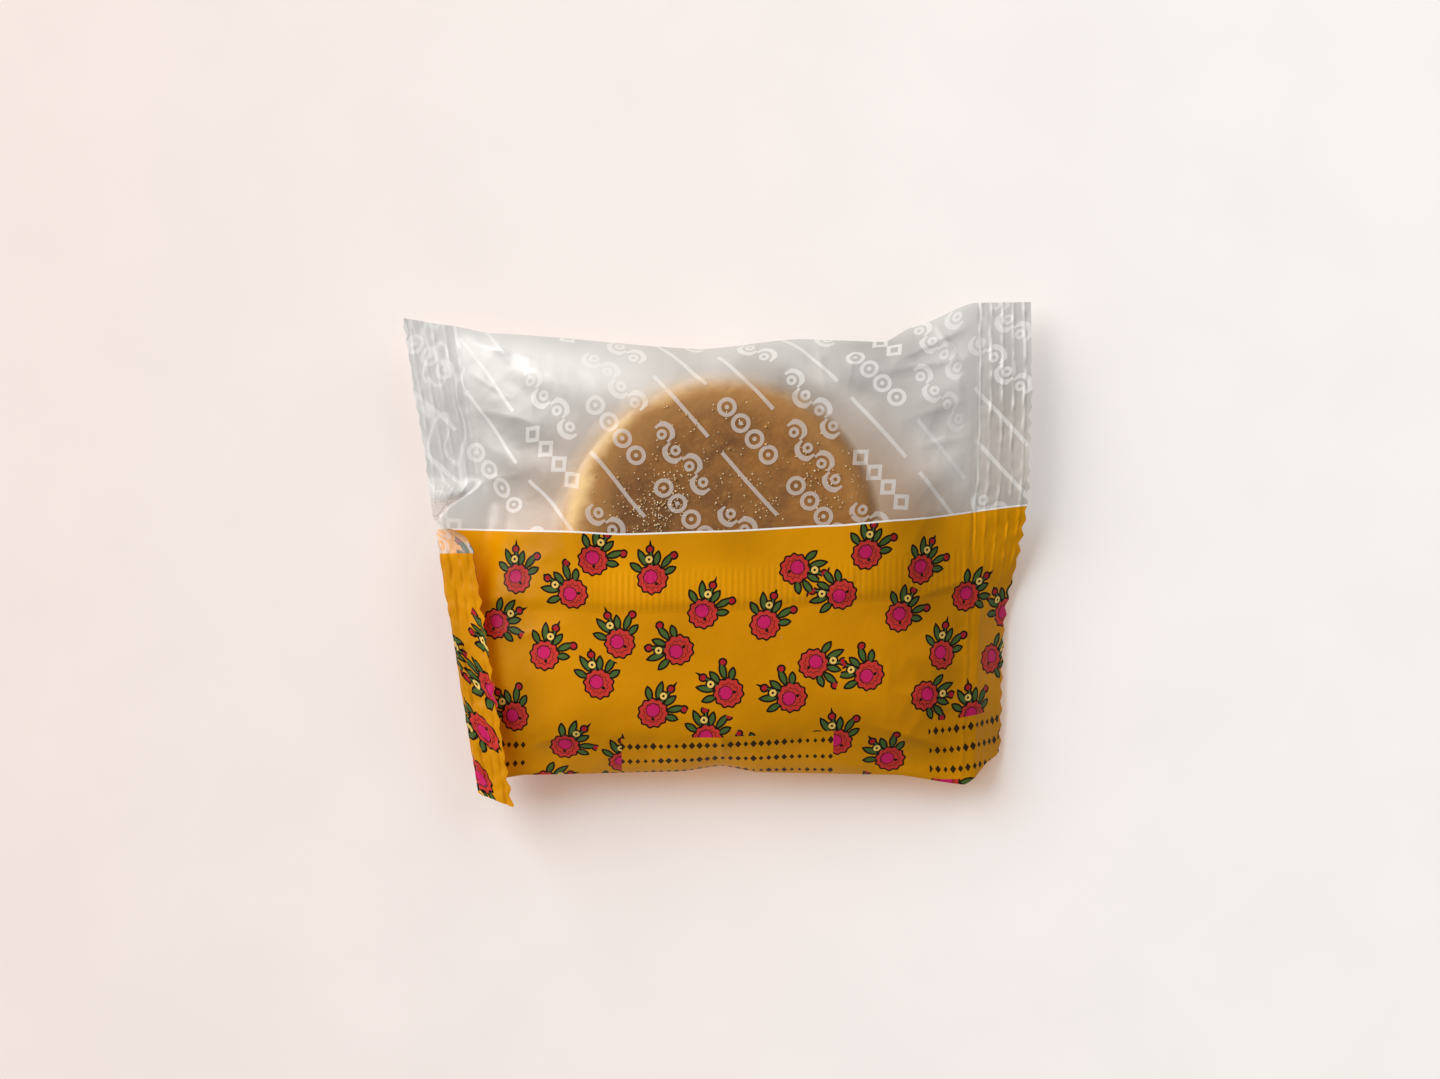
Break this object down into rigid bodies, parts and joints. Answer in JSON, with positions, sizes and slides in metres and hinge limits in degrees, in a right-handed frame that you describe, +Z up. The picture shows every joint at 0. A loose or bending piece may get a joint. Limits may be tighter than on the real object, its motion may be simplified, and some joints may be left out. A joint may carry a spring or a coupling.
{
  "type": "wrapped maamoul",
  "caption": "Sealed film flow pack, part clear and part printed, with crimped zigzag ends and a fin seal along its back, shut round one filled maamoul cookie.",
  "frame": {"origin": "on the surface that the pack lies on, under the middle of its bounding box", "axes": "+X along the tube of film, from the folded end seal to the flat one; +Y across the back from the printed part to the clear part; +Z up out of the side that shows"},
  "size_m": [0.1108, 0.088, 0.0176],
  "materials": {
    "clear_film": "thin clear packing film with a milky haze and white print",
    "printed_film": "thin packing film reverse printed amber yellow with small red sprigs",
    "cookie": "baked crumbly dough, stands in for food",
    "sugar": "loose pale sugar and crumbs, stands in for food"
  },
  "bodies": {
    "root": {"flow_pack": "clear_film"}
  },
  "joints": []
}
